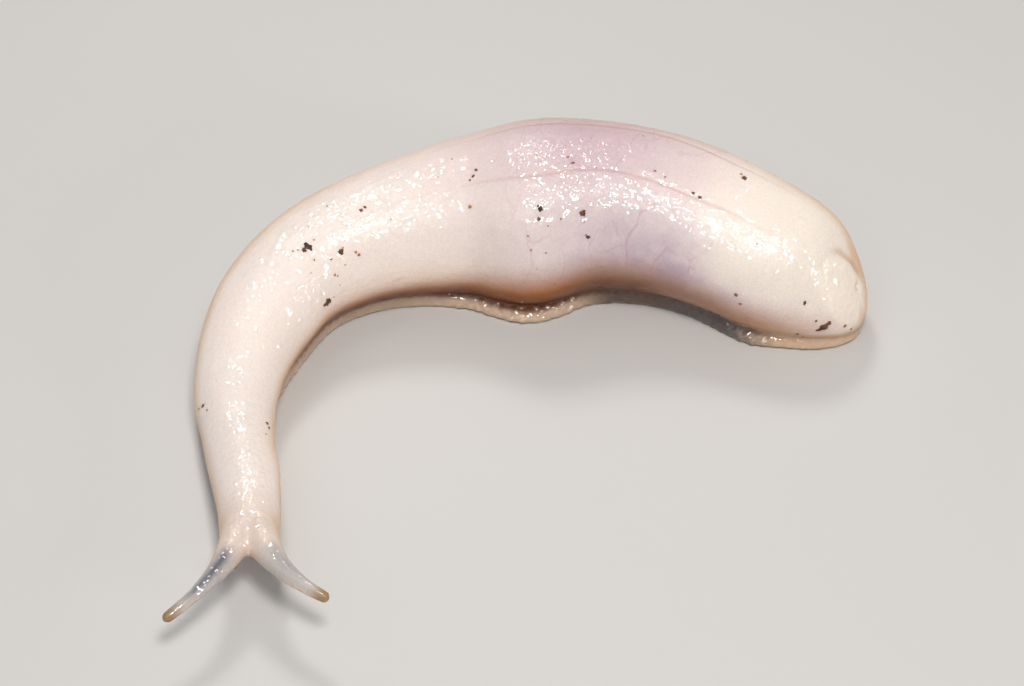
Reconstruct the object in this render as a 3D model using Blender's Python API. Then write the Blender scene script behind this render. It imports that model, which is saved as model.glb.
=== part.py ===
# A ghost slug at life size: a white, eyeless land slug that hunts earthworms underground.
# Metres, Z up. It lies on its sole at Z = 0 with its neck turned to its left, so the head
# points to -Y and the tail to +X. The origin is under the middle of its box.
#
# The trunk is one loft over the foot, a second loft, with the pedal groove as the gap
# between them. Thin cuts across the path part both into lengths. A sloping cut parts the
# mantle disc from the rump, and the tentacles are parted from stubs on the head.

import math
from collections import namedtuple

import bmesh
import bpy
import numpy as np
from mathutils import Vector

MM = 0.001
GAP = 0.3 * MM
UP = Vector((0, 0, 1))

# The body from the nose to the end of the tail, in millimetres. x and y are the middle line
# on the floor. left and right are the half widths on the animal's own sides, height is the
# top of the back. tuck is how sharply the flank turns in under the body, 1 as an ellipse
# does and less where it sags. groove_left and groove_right are how high the pedal groove
# runs, and foot_left and foot_right how far the sole's fringe reaches out.
Station = namedtuple(
    "Station", "x y left right height tuck groove_left groove_right foot_left foot_right"
)
STATIONS = [
    Station(-15.0, -19.2, 1.75, 1.80, 3.5, 1.0, 0.75, 0.75, 1.4, 1.4),
    Station(-15.2, -16.4, 1.80, 1.85, 3.6, 1.0, 0.75, 0.75, 1.5, 1.5),
    Station(-15.6, -13.2, 2.00, 2.10, 3.8, 1.0, 0.80, 0.80, 1.6, 1.6),
    Station(-16.3, -9.8, 2.15, 2.20, 4.1, 1.0, 0.85, 0.85, 1.7, 1.8),
    Station(-16.6, -6.8, 2.45, 2.55, 4.8, 1.0, 0.95, 0.90, 1.8, 2.1),
    Station(-16.2, -3.8, 2.75, 3.05, 5.7, 1.0, 1.05, 1.00, 2.2, 2.4),
    Station(-15.0, -0.5, 3.15, 3.60, 6.5, 1.0, 1.10, 1.05, 2.5, 2.8),
    Station(-13.0, 2.4, 3.20, 3.90, 7.2, 1.0, 1.10, 1.10, 2.3, 3.1),
    Station(-10.1, 4.6, 3.70, 4.25, 7.8, 1.0, 1.15, 1.15, 2.5, 3.3),
    Station(-6.6, 6.0, 4.30, 4.60, 8.5, 0.95, 1.20, 1.20, 3.1, 3.5),
    Station(-3.2, 6.7, 4.80, 5.00, 9.3, 0.80, 1.10, 1.25, 4.0, 3.8),
    Station(0.9, 6.9, 6.15, 5.40, 10.6, 0.60, 1.00, 1.30, 5.4, 4.1),
    Station(5.5, 7.0, 5.30, 5.40, 10.5, 0.95, 1.30, 1.30, 3.8, 4.1),
    Station(10.1, 6.4, 5.10, 5.10, 9.8, 0.95, 1.35, 1.30, 3.6, 4.0),
    Station(13.7, 5.1, 5.15, 4.70, 9.0, 0.90, 1.20, 1.25, 3.9, 3.7),
    Station(16.8, 3.4, 4.85, 4.40, 8.3, 0.75, 0.95, 1.15, 4.2, 3.5),
    Station(19.4, 1.9, 4.00, 3.95, 7.5, 0.85, 0.95, 1.00, 3.0, 3.0),
    Station(21.85, 0.6, 3.10, 3.20, 6.1, 1.0, 0.90, 0.90, 2.1, 2.3),
]

RING_PITCH = 0.85 * MM
NOSE_DOME = 2.3 * MM
NOSE_SQUARENESS = 3.0
NOSE_HEIGHT_SHARE = 0.66
RUMP_DOME = 5.2 * MM
RUMP_SQUARENESS = 2.2
FOOT_DOME = 3.0 * MM
FOOT_START = 1.7 * MM
FOOT_INSET = 0.1 * MM
DOME_ANGLES = (12, 26, 40, 54, 68)
CREASE_ANGLE = math.radians(40)

# The head is held clear of the floor and comes down to it along the neck.
HEAD_LIFT = 1.0 * MM
LIFT_START = 3.0 * MM
LIFT_END = 11.0 * MM

# The section. Its widest level is a share of the height. The fringe of the foot slopes out
# to a blunt edge, turns under it, and the flat sole is a little narrower.
WAIST_SHARE = 0.49
FOOT_TIP_SHARE = 0.4
FRINGE_LEAST = 0.2 * MM
FRINGE_EDGE = 0.45 * MM
FRINGE_BULGE = 0.10 * MM
FRINGE_LIP = 0.06 * MM
LIP_LIFT = 0.22 * MM
LIP_RIM_SHARE = 0.8
SOLE_EDGE_LIFT = 0.12 * MM
SOLE_EDGE_SHARE = 0.97
SOLE_SHARES = (0.86, 0.45)
FLAT_SHARES = (0.25, 0.5, 0.75)

# Places round the trunk from the middle of the back, as shares of the way to the groove.
# The fourth one is the bottom of a dorsal furrow.
ROUND_SHARES = [0.0, 0.08, 0.13, 0.165, 0.2, 0.27, 0.36, 0.46, 0.56, 0.66, 0.76, 0.85, 0.93, 1.0]
FURROW_PLACE = 3
FURROW_DEPTH = 0.28 * MM
FURROW_START = 9.0 * MM
FURROW_END = 4.5 * MM
FURROW_FADE = 4.0 * MM

# Where the thin cuts part the body, from the nose.
TRUNK_CUTS = {
    "head": 4.2 * MM,
    "neck": 13.0 * MM,
    "shoulder": 21.5 * MM,
    "back_front": 32.0 * MM,
    "back_middle": 42.0 * MM,
    "back_rear": 51.0 * MM,
    "rump": None,
}
FOOT_CUTS = {
    "foot_head": 11.0 * MM,
    "foot_neck": 21.5 * MM,
    "foot_front": 32.0 * MM,
    "foot_middle": 42.0 * MM,
    "foot_rear": 51.0 * MM,
    "foot_tail": None,
}

# The mantle disc lies on a slope cut on the end of the rump, turned a little to the left.
MANTLE_DEPTH = 0.42 * MM
MANTLE_SLOPE = math.radians(26)
MANTLE_TURN = math.radians(14)
MANTLE_PROUD = 0.16 * MM
MANTLE_EDGE = 0.25 * MM
MANTLE_RISE = 0.30 * MM
MANTLE_SIDES = 28
MANTLE_TURNS = (0, 15, 30, 45, 60, 75)
BREATHING_HOLE_RADIUS = 0.34 * MM
BREATHING_HOLE_ASIDE = 1.10 * MM

TENTACLE_SIDES = 14
TENTACLE_RINGS = 14
TENTACLE_TIP_ANGLES = (35, 62)
TENTACLE_ROOT_POINT = 0.3
# root, bend and tip as (along the body from the nose, to the left, up), the radii from root
# to tip, and the share of the length that stays on the head as a stub, all in millimetres.
Tentacle = namedtuple("Tentacle", "name root bend tip radii stub")
TENTACLES = [
    Tentacle(
        "tentacle_upper_left",
        (2.2, 0.50, 2.35),
        (-1.45, 1.50, 2.90),
        (-4.1, 4.2, 2.8),
        (1.00, 0.95, 0.77, 0.53, 0.37, 0.31),
        0.38,
    ),
    Tentacle(
        "tentacle_upper_right",
        (2.2, -0.50, 2.35),
        (-1.55, -1.55, 2.90),
        (-4.6, -4.6, 2.4),
        (1.00, 0.95, 0.77, 0.53, 0.37, 0.31),
        0.38,
    ),
    Tentacle(
        "tentacle_lower_left",
        (2.0, 0.6, 1.75),
        (0.6, 0.95, 1.5),
        (-0.8, 1.45, 1.1),
        (0.50, 0.46, 0.40, 0.33, 0.29, 0.27),
        0.62,
    ),
    Tentacle(
        "tentacle_lower_right",
        (2.0, -0.6, 1.75),
        (0.6, -0.95, 1.5),
        (-0.8, -1.45, 1.1),
        (0.50, 0.46, 0.40, 0.33, 0.29, 0.27),
        0.62,
    ),
]
# Rounded folds fused to the head, as (along, to the left, up) and half sizes the same way:
# the brow between the tentacles, and a lip on each side of the line of the mouth.
Fold = namedtuple("Fold", "place half_size")
FOLDS = [
    Fold((0.95, 0.0, 2.62), (1.45, 1.30, 0.88)),
    Fold((1.10, 0.36, 1.25), (0.72, 0.42, 0.62)),
    Fold((1.10, -0.36, 1.25), (0.72, 0.42, 0.62)),
]
FOLD_SIDES = 16
FOLD_RINGS = 10

SKIN_WHITE = (0.90, 0.83, 0.76)
BACK_LILAC = (0.82, 0.74, 0.76)
FOOT_GREY = (0.66, 0.60, 0.56)
TENTACLE_GREY = (0.80, 0.77, 0.76)


def clear_scene():
    for obj in list(bpy.data.objects):
        bpy.data.objects.remove(obj)


def spline_table():
    """The stations in metres, the distance of each along the middle line, and the slopes there."""
    units = Station(*[MM] * len(Station._fields))._replace(tuck=1)
    rows = np.array(STATIONS) * np.array(units)
    steps = np.linalg.norm(np.diff(rows[:, :2], axis=0), axis=1)
    along = np.concatenate([[0], np.cumsum(steps)])
    slopes = np.gradient(rows, along, axis=0)
    return rows, along, slopes


ROWS, ALONG, SLOPES = spline_table()
LENGTH = float(ALONG[-1])
FOOT_LENGTH = LENGTH - FOOT_INSET


def body_at(s):
    """The station at distance s from the nose, and the direction of the middle line there."""
    i = int(np.clip(np.searchsorted(ALONG, s) - 1, 0, len(ALONG) - 2))
    span = ALONG[i + 1] - ALONG[i]
    t = (s - ALONG[i]) / span
    start, end = ROWS[i], ROWS[i + 1]
    leave, arrive = SLOPES[i] * span, SLOPES[i + 1] * span
    place = (
        (2 * t**3 - 3 * t**2 + 1) * start
        + (t**3 - 2 * t**2 + t) * leave
        + (3 * t**2 - 2 * t**3) * end
        + (t**3 - t**2) * arrive
    )
    slope = (
        (6 * t**2 - 6 * t) * (start - end)
        + (3 * t**2 - 4 * t + 1) * leave
        + (3 * t**2 - 2 * t) * arrive
    )
    return Station(*place), Vector((slope[0], slope[1], 0)).normalized()


def smooth_step(low, high, value):
    t = min(1.0, max(0.0, (value - low) / (high - low)))
    return t * t * (3 - 2 * t)


def lift_at(s):
    return HEAD_LIFT * (1 - smooth_step(LIFT_START, LIFT_END, s))


def place_on_body(s, left, up):
    """The point at distance s from the nose, that far to the animal's left and above its sole."""
    body, direction = body_at(max(s, 0))
    to_left = direction.cross(UP)
    ahead = min(s, 0) * direction
    return Vector((body.x, body.y, up + lift_at(s))) + to_left * left + ahead


def dome(distance, reach, squareness):
    """0 at the end of a rounded body, 1 once it has its full size."""
    if distance >= reach:
        return 1.0
    return (1 - (1 - distance / reach) ** squareness) ** (1 / squareness)


def flank_end(body, groove):
    """The angle round the section, from the top, at which the flank turns in to the groove."""
    waist = WAIST_SHARE * body.height
    return math.acos(-(waist - groove) / waist)


def trunk_ring(s):
    """One section of the trunk, from the left groove over the back to the right one."""
    body, _ = body_at(s)
    waist = WAIST_SHARE * body.height
    nose_width = dome(s, NOSE_DOME, NOSE_SQUARENESS)
    nose_height = dome(s, NOSE_DOME, 2)
    rump = dome(LENGTH - s, RUMP_DOME, RUMP_SQUARENESS)
    nose_level = NOSE_HEIGHT_SHARE * body.height
    furrow = FURROW_DEPTH * smooth_step(FURROW_START, FURROW_START + FURROW_FADE, s)
    furrow *= smooth_step(FURROW_END, FURROW_END + FURROW_FADE, LENGTH - s)

    def point(share, side):
        half = body.left if side > 0 else body.right
        groove = (body.groove_left if side > 0 else body.groove_right) + GAP / 2
        angle = share * flank_end(body, groove)
        dip = furrow if share == ROUND_SHARES[FURROW_PLACE] else 0
        above = angle < math.pi / 2
        across = side * (half - dip) * math.sin(angle) ** (1 if above else body.tuck)
        reach = body.height - waist if above else waist
        up = waist + (reach - dip) * math.cos(angle)
        up = nose_level + (up - nose_level) * nose_height
        up = groove + (up - groove) * rump
        return place_on_body(s, across * nose_width * rump, up)

    left = [point(share, 1) for share in reversed(ROUND_SHARES)]
    right = [point(share, -1) for share in ROUND_SHARES[1:]]
    return left + right + across_flat(right[-1], left[0])


def across_flat(start, end):
    """Three points between the two edges of a flat."""
    return [start.lerp(end, share) for share in FLAT_SHARES]


def foot_ring(s):
    """One section of the foot: its flat top, the fringe on each side and the flat sole."""
    body, _ = body_at(min(s, LENGTH))
    ends = min(dome(s - FOOT_START, FOOT_DOME, 2), dome(FOOT_LENGTH - s, FOOT_DOME, 2))

    def groove_of(side):
        return body.groove_left if side > 0 else body.groove_right

    def side_points(side):
        top = (groove_of(side) - GAP / 2) * (FOOT_TIP_SHARE + (1 - FOOT_TIP_SHARE) * ends)
        neck_share = math.sin(flank_end(body, groove_of(side))) ** body.tuck
        half = (body.left if side > 0 else body.right) * neck_share * ends
        edge = (body.foot_left if side > 0 else body.foot_right) * ends
        half = min(half, edge - FRINGE_LEAST * ends)
        rim = min(FRINGE_EDGE, top)
        shape = [
            (half, top),
            ((half + edge) / 2, (top + rim) / 2 + FRINGE_BULGE * ends),
            (edge, rim),
            (edge + FRINGE_LIP * ends, min(LIP_LIFT, rim * LIP_RIM_SHARE)),
            (edge * SOLE_EDGE_SHARE, SOLE_EDGE_LIFT),
            *((edge * share, 0.0) for share in SOLE_SHARES),
        ]
        return [place_on_body(s, side * across, up) for across, up in shape]

    left, right = side_points(1), side_points(-1)
    return [*across_flat(right[0], left[0]), *left, place_on_body(s, 0, 0), *reversed(right)]


def ring_places(start, end, front, rear):
    """Distances of the rings from the nose: close on the rounded ends, even between them."""
    turns = [math.radians(angle) for angle in DOME_ANGLES]
    opening = [start + front * (1 - math.cos(turn)) for turn in turns]
    closing = [end - rear * (1 - math.cos(turn)) for turn in reversed(turns)]
    count = round((end - rear - start - front) / RING_PITCH)
    between = np.linspace(start + front, end - rear, count + 1)
    return [*opening, *(float(s) for s in between), *closing]


def loft(rings, first_pole, last_pole):
    """A closed mesh through rings of the same number of points, closed at each end on a point."""
    bm = bmesh.new()
    rows = [[bm.verts.new(point) for point in ring] for ring in rings]
    count = len(rows[0])
    for row, following in zip(rows, rows[1:]):
        for i in range(count):
            j = (i + 1) % count
            bm.faces.new((row[i], row[j], following[j], following[i]))
    for row, pole in ((rows[0], first_pole), (rows[-1], last_pole)):
        tip = bm.verts.new(pole)
        for i in range(count):
            bm.faces.new((row[i], row[(i + 1) % count], tip))
    bmesh.ops.recalc_face_normals(bm, faces=bm.faces)
    return bm


def cut_off(bm, point, normal):
    """Takes away all that lies on the side that normal points to, and closes the cut."""
    whole = list(bm.verts) + list(bm.edges) + list(bm.faces)
    bmesh.ops.bisect_plane(bm, geom=whole, plane_co=point, plane_no=normal, clear_outer=True)
    rim = [edge for edge in bm.edges if edge.is_boundary]
    if rim:
        bmesh.ops.edgeloop_fill(bm, edges=rim)


def largest_surface(bm):
    """Keeps only the largest closed surface of the mesh."""
    unseen, shells = set(bm.verts), []
    while unseen:
        shell, front = set(), [unseen.pop()]
        while front:
            vert = front.pop()
            shell.add(vert)
            near = {edge.other_vert(vert) for edge in vert.link_edges} & unseen
            unseen -= near
            front.extend(near)
        shells.append(shell)
    shells.sort(key=len)
    scraps = [vert for shell in shells[:-1] for vert in shell]
    bmesh.ops.delete(bm, geom=scraps, context="VERTS")


def make_material(name, colour, roughness):
    material = bpy.data.materials.get(name) or bpy.data.materials.new(name)
    material.use_nodes = True
    shader = material.node_tree.nodes["Principled BSDF"]
    shader.inputs["Base Color"].default_value = (*colour, 1)
    shader.inputs["Roughness"].default_value = roughness
    shader.inputs["Metallic"].default_value = 0
    return material


def add_object(name, bm, material):
    """An object with its origin in the middle of its mesh, its rounded faces shaded smooth."""
    bmesh.ops.triangulate(bm, faces=[face for face in bm.faces if len(face.verts) > 4])
    middle = sum((vert.co for vert in bm.verts), Vector()) / len(bm.verts)
    bmesh.ops.translate(bm, verts=bm.verts, vec=-middle)
    mesh = bpy.data.meshes.new(name)
    bm.to_mesh(mesh)
    bm.free()
    mesh.materials.append(material)
    mesh.shade_smooth()
    mesh.set_sharp_from_angle(angle=CREASE_ANGLE)
    obj = bpy.data.objects.new(name, mesh)
    obj.location = middle
    bpy.context.scene.collection.objects.link(obj)
    return obj


def lengths_of(whole, places, cuts):
    """Parts a loft into lengths by thin cuts across the middle line. Gives {name: mesh}."""
    lengths, start = {}, None
    for name, nominal in cuts.items():
        piece = whole.copy()
        if start is not None:
            _, direction = body_at(start)
            cut_off(piece, place_on_body(start, 0, 0) + direction * GAP / 2, -direction)
        if nominal is not None:
            end = min(places, key=lambda place: abs(place - nominal))
            _, direction = body_at(end)
            cut_off(piece, place_on_body(end, 0, 0) - direction * GAP / 2, direction)
            start = end
        largest_surface(piece)
        lengths[name] = piece
    whole.free()
    return lengths


def tentacle_path(tentacle):
    """The points of the tentacle's middle line, its directions and its radii, root to tip."""
    root, bend, tip = (
        place_on_body(s * MM, left * MM, up * MM)
        for s, left, up in (tentacle.root, tentacle.bend, tentacle.tip)
    )
    shares = np.linspace(0, 1, TENTACLE_RINGS)
    control = 2 * bend - (root + tip) / 2
    points = [
        root * (1 - t) ** 2 + control * 2 * t * (1 - t) + tip * t**2 for t in shares
    ]
    directions = [
        ((control - root) * (1 - t) + (tip - control) * t).normalized() for t in shares
    ]
    marks = np.linspace(0, 1, len(tentacle.radii))
    radii = np.interp(shares, marks, tentacle.radii) * MM
    return points, directions, radii


def tentacle_loft(tentacle):
    """A tapered rod with a round tip."""
    points, directions, radii = tentacle_path(tentacle)
    tip_radius = radii[-1]
    for angle in TENTACLE_TIP_ANGLES:
        turn = math.radians(angle)
        points.append(points[TENTACLE_RINGS - 1] + directions[-1] * tip_radius * math.sin(turn))
        radii = np.append(radii, tip_radius * math.cos(turn))
        directions.append(directions[-1])
    rings = []
    for point, direction, radius in zip(points, directions, radii):
        aside = direction.cross(UP).normalized()
        above = aside.cross(direction)
        turns = [math.tau * i / TENTACLE_SIDES for i in range(TENTACLE_SIDES)]
        rings.append(
            [point + (aside * math.cos(a) + above * math.sin(a)) * radius for a in turns]
        )
    first_pole = points[0] - directions[0] * radii[0] * TENTACLE_ROOT_POINT
    last_pole = points[TENTACLE_RINGS - 1] + directions[-1] * tip_radius
    return loft(rings, first_pole, last_pole)


def part_tentacle(tentacle):
    """The stub that stays on the head, and the rest of the tentacle, a thin gap apart."""
    points, directions, _ = tentacle_path(tentacle)
    ring = round(tentacle.stub * (TENTACLE_RINGS - 1))
    point, direction = points[ring], directions[ring]
    stub, rod = tentacle_loft(tentacle), tentacle_loft(tentacle)
    cut_off(stub, point - direction * GAP / 2, direction)
    cut_off(rod, point + direction * GAP / 2, -direction)
    return stub, rod


def fold_mesh(fold):
    """A rounded fold, an egg set square to the head."""
    bm = bmesh.new()
    bmesh.ops.create_uvsphere(bm, u_segments=FOLD_SIDES, v_segments=FOLD_RINGS, radius=1)
    _, direction = body_at(0)
    to_left = direction.cross(UP)
    along, across, up = (size * MM for size in fold.half_size)
    middle = place_on_body(*(distance * MM for distance in fold.place))
    for vert in bm.verts:
        x, y, z = vert.co
        vert.co = middle + direction * x * along + to_left * y * across + UP * z * up
    return bm


def join(obj, operation, pieces):
    """Adds closed meshes to the object, or takes them away, by one Boolean on a collection."""
    folder = bpy.data.collections.new(obj.name + "_pieces")
    bpy.context.scene.collection.children.link(folder)
    for i, bm in enumerate(pieces):
        mesh = bpy.data.meshes.new(f"{obj.name}_piece_{i}")
        bm.to_mesh(mesh)
        bm.free()
        helper = bpy.data.objects.new(mesh.name, mesh)
        helper.hide_render = True
        helper.display_type = "WIRE"
        folder.objects.link(helper)
    modifier = obj.modifiers.new("join", "BOOLEAN")
    modifier.operation = operation
    modifier.solver = "EXACT"
    modifier.operand_type = "COLLECTION"
    modifier.collection = folder
    bpy.context.view_layer.update()
    graph = bpy.context.evaluated_depsgraph_get()
    made = bpy.data.meshes.new_from_object(obj.evaluated_get(graph))
    obj.modifiers.clear()
    bm = bmesh.new()
    bm.from_mesh(made)
    largest_surface(bm)
    bm.to_mesh(obj.data)
    bm.free()
    for helper in list(folder.objects):
        bpy.data.objects.remove(helper)
    bpy.data.collections.remove(folder)


def mantle_axes():
    """The way the mantle disc faces, and the directions over it to its right and its front."""
    _, direction = body_at(LENGTH)
    to_left = direction.cross(UP)
    back = direction * math.cos(MANTLE_TURN) + to_left * math.sin(MANTLE_TURN)
    facing = back * math.cos(MANTLE_SLOPE) + UP * math.sin(MANTLE_SLOPE)
    right = (facing * to_left.dot(facing) - to_left).normalized()
    return facing, right, right.cross(facing)


def part_mantle(rump):
    """Cuts a slope on the rump and makes the mantle disc that lies on it.

    The disc follows the rim of the cut, and stands a little proud of it all round.
    """
    facing, right, front = mantle_axes()
    level = max(vert.co.dot(facing) for vert in rump.verts) - MANTLE_DEPTH
    cut_off(rump, facing * level, facing)
    rim = [vert.co for vert in rump.verts if abs(vert.co.dot(facing) - level) < MM / 100]
    middle = sum(rim, Vector()) / len(rim) + facing * GAP
    sides = [((co - middle).dot(right), (co - middle).dot(front)) for co in rim]
    around = sorted((math.atan2(y, x), math.hypot(x, y)) for x, y in sides)
    angles, reaches = zip(*around)

    def ring(swell, share, height):
        points = []
        for i in range(MANTLE_SIDES):
            angle = math.tau * i / MANTLE_SIDES - math.pi
            reach = float(np.interp(angle, angles, reaches, period=math.tau)) + swell
            aside = right * math.cos(angle) + front * math.sin(angle)
            points.append(middle + aside * reach * share + facing * height)
        return points

    rings = [ring(MANTLE_PROUD / 2, 1, 0)]
    for degrees in MANTLE_TURNS:
        turn = math.radians(degrees)
        height = MANTLE_EDGE + MANTLE_RISE * math.sin(turn)
        rings.append(ring(MANTLE_PROUD, math.cos(turn), height))
    return loft(rings, middle, middle + facing * (MANTLE_EDGE + MANTLE_RISE))


def make_trunk(skin, lilac):
    places = ring_places(0, LENGTH, NOSE_DOME, RUMP_DOME)
    last = body_at(LENGTH)[0]
    nose = place_on_body(0, 0, NOSE_HEIGHT_SHARE * STATIONS[0].height * MM)
    tail = place_on_body(LENGTH, 0, last.groove_left + GAP / 2)
    whole = loft([trunk_ring(s) for s in places], nose, tail)
    lengths = lengths_of(whole, places, TRUNK_CUTS)
    lengths["mantle"] = part_mantle(lengths["rump"])
    made = {}
    for name, bm in lengths.items():
        material = lilac if name in ("back_middle", "back_rear") else skin
        made[name] = add_object(name, bm, material)
    return made


def make_foot(material):
    places = ring_places(FOOT_START, FOOT_LENGTH, FOOT_DOME, FOOT_DOME)
    first, last = body_at(FOOT_START)[0], body_at(LENGTH)[0]
    front = place_on_body(FOOT_START, 0, first.groove_left * FOOT_TIP_SHARE)
    rear = place_on_body(FOOT_LENGTH, 0, last.groove_left * FOOT_TIP_SHARE)
    whole = loft([foot_ring(s) for s in places], front, rear)
    for name, bm in lengths_of(whole, places, FOOT_CUTS).items():
        add_object(name, bm, material)


def make_head(head, material):
    """Fuses the folds and the tentacles' stubs to the head, and adds the tentacles."""
    pieces = [fold_mesh(fold) for fold in FOLDS]
    for tentacle in TENTACLES:
        stub, rod = part_tentacle(tentacle)
        pieces.append(stub)
        add_object(tentacle.name, rod, material)
    join(head, "UNION", pieces)


def make_breathing_hole(mantle):
    """The breathing hole, a round pit near the mantle's right edge."""
    facing, right, _ = mantle_axes()
    start = right * BREATHING_HOLE_ASIDE + facing * LENGTH
    hit, place, _, _ = mantle.ray_cast(start, -facing)
    if not hit:
        raise ValueError("the breathing hole misses the mantle")
    pit = bmesh.new()
    bmesh.ops.create_icosphere(pit, subdivisions=2, radius=BREATHING_HOLE_RADIUS)
    bmesh.ops.translate(pit, verts=pit.verts, vec=mantle.location + place)
    join(mantle, "DIFFERENCE", [pit])


def stand_on_origin():
    """Parents every node to one empty, moved so that the box of all stands on the origin."""
    bpy.context.view_layer.update()
    nodes = [obj for obj in bpy.context.scene.objects if obj.type == "MESH"]
    corners = np.array([obj.matrix_world @ v.co for obj in nodes for v in obj.data.vertices])
    low, high = corners.min(axis=0), corners.max(axis=0)
    slug = bpy.data.objects.new("slug", None)
    bpy.context.scene.collection.objects.link(slug)
    for obj in nodes:
        obj.parent = slug
    slug.location = (-(low[0] + high[0]) / 2, -(low[1] + high[1]) / 2, -low[2])
    bpy.context.view_layer.update()
    print("box in mm", (high - low) / MM, "moved by", list(slug.location))


def main():
    clear_scene()
    skin = make_material("skin", SKIN_WHITE, 0.35)
    lilac = make_material("back", BACK_LILAC, 0.35)
    foot = make_material("foot", FOOT_GREY, 0.25)
    horn = make_material("tentacle", TENTACLE_GREY, 0.3)
    trunk = make_trunk(skin, lilac)
    make_foot(foot)
    make_head(trunk["head"], horn)
    make_breathing_hole(trunk["mantle"])
    stand_on_origin()


main()
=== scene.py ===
# %% [markdown]
# # A ghost slug
# The ghost slug is a white, eyeless land slug that lives underground and hunts earthworms.
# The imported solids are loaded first. They give the true sizes and stay as the collision
# model. What is seen is one soft, wet skin over them, with no seam between its lengths.

import math
from collections import namedtuple

import bmesh
import bpy
import mathutils
import numpy as np
from mathutils import Matrix, Vector


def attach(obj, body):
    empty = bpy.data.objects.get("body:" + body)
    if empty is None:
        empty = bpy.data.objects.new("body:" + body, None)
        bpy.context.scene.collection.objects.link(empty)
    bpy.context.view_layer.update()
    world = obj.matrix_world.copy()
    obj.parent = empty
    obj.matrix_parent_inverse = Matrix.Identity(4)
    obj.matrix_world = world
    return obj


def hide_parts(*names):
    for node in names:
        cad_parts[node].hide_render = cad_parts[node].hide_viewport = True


MM = 0.001
UP = Vector((0, 0, 1))
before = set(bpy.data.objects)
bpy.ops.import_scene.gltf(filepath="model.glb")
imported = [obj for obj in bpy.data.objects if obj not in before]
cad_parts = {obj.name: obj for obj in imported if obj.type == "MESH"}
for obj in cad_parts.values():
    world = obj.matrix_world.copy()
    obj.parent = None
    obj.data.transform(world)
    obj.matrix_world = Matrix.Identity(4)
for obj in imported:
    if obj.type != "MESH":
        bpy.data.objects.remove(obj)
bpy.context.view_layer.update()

# %% [markdown]
# ## The camera
# The slug is seen from its left side and from well above, as by someone kneeling over it.
# A long lens keeps its proportions. The camera looks at the point of the floor that the
# body's plan is drawn around, so the same place is the middle of the picture.

# %% The camera
PLAN_CENTRE = Vector((-1.411, 5.982, 0)) * MM
PICTURE_WIDTH, PICTURE_HEIGHT = 1024, 686
LENS_MM, SENSOR_MM = 100, 36
LOOKING_DOWN = math.radians(47)
CAMERA_DISTANCE = 177.8 * MM
TO_CAMERA = Vector((0, -math.cos(LOOKING_DOWN), math.sin(LOOKING_DOWN)))

camera = bpy.data.objects.new("camera", bpy.data.cameras.new("camera"))
bpy.context.scene.collection.objects.link(camera)
bpy.context.scene.camera = camera
camera.data.lens = LENS_MM
camera.data.sensor_width = SENSOR_MM
camera.data.clip_start = 1 * MM
camera.location = PLAN_CENTRE + TO_CAMERA * CAMERA_DISTANCE
camera.rotation_euler = (math.pi / 2 - LOOKING_DOWN, 0, 0)
print("camera", [round(v / MM) for v in camera.location], "mm")

# %% [markdown]
# ## The floor and the light
# The slug lies on a plain pale floor. Wet skin is only wet if it has something bright to
# mirror, so the main light is a softbox close to the camera, a little above it. It draws
# small glints on the grains that face it. A second softbox, behind the slug, does the same
# on the flat top of the neck, and a third, low at the tail, on the mantle. A wide, dim
# light and a pale sky fill the rest.

# %% The floor and the light
FLOOR_SIZE = 3.0
FLOOR_COLOUR, FLOOR_ROUGHNESS = (0.60, 0.59, 0.57), 0.6
SKY_COLOUR, SKY_STRENGTH = (0.90, 0.93, 1.00), 0.30
Light = namedtuple("Light", "name direction distance size watts colour")
LIGHTS = [
    Light("softbox", (0.08, -0.38, 0.88), 0.22, 0.048, 0.26, (1.00, 0.96, 0.91)),
    Light("back_softbox", (-0.12, 0.60, 0.80), 0.22, 0.044, 0.13, (1.00, 0.97, 0.93)),
    Light("side_softbox", (0.84, -0.42, 0.36), 0.24, 0.040, 0.07, (1.00, 0.97, 0.93)),
    Light("wide_fill", (-0.50, -0.70, 1.1), 0.50, 0.50, 0.40, (0.98, 0.98, 1.00)),
]


def add_light(light):
    """A square lamp that looks at the middle of the slug. Distance and size are in metres."""
    lamp = bpy.data.lights.new(light.name, "AREA")
    lamp.size = light.size
    lamp.energy = light.watts
    lamp.color = light.colour
    stand = bpy.data.objects.new(light.name, lamp)
    bpy.context.scene.collection.objects.link(stand)
    direction = Vector(light.direction)
    stand.location = PLAN_CENTRE + direction.normalized() * light.distance
    stand.rotation_euler = direction.to_track_quat("Z", "Y").to_euler()


for light in LIGHTS:
    add_light(light)
bpy.ops.object.select_all(action="DESELECT")
bpy.ops.mesh.primitive_plane_add(size=FLOOR_SIZE)
floor = bpy.context.object
floor.name = "floor"
floor_finish = bpy.data.materials.new("pale_floor")
floor_finish.use_nodes = True
floor_shader = floor_finish.node_tree.nodes["Principled BSDF"]
floor_shader.inputs["Base Color"].default_value = (*FLOOR_COLOUR, 1)
floor_shader.inputs["Roughness"].default_value = FLOOR_ROUGHNESS
floor.data.materials.append(floor_finish)

sky = bpy.data.worlds.new("pale_sky")
sky.use_nodes = True
sky.node_tree.nodes["Background"].inputs["Color"].default_value = (*SKY_COLOUR, 1)
sky.node_tree.nodes["Background"].inputs["Strength"].default_value = SKY_STRENGTH
bpy.context.scene.world = sky
bpy.context.scene.view_settings.view_transform = "Standard"
print("floor of", FLOOR_SIZE, "m and", len(LIGHTS), "lights")

# %% [markdown]
# ## The plan of the body
# A slug is one muscular tube on a broad foot. It is drawn as a draughtsman would draw a
# boat, by stations along a middle line on the floor. Each station has the half widths on
# the animal's left and right, the height of the back, how sharply the flank tucks in, how
# high the groove runs, and the size of the foot. The stations are those of the solids, so
# that the skin fits them.

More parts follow.
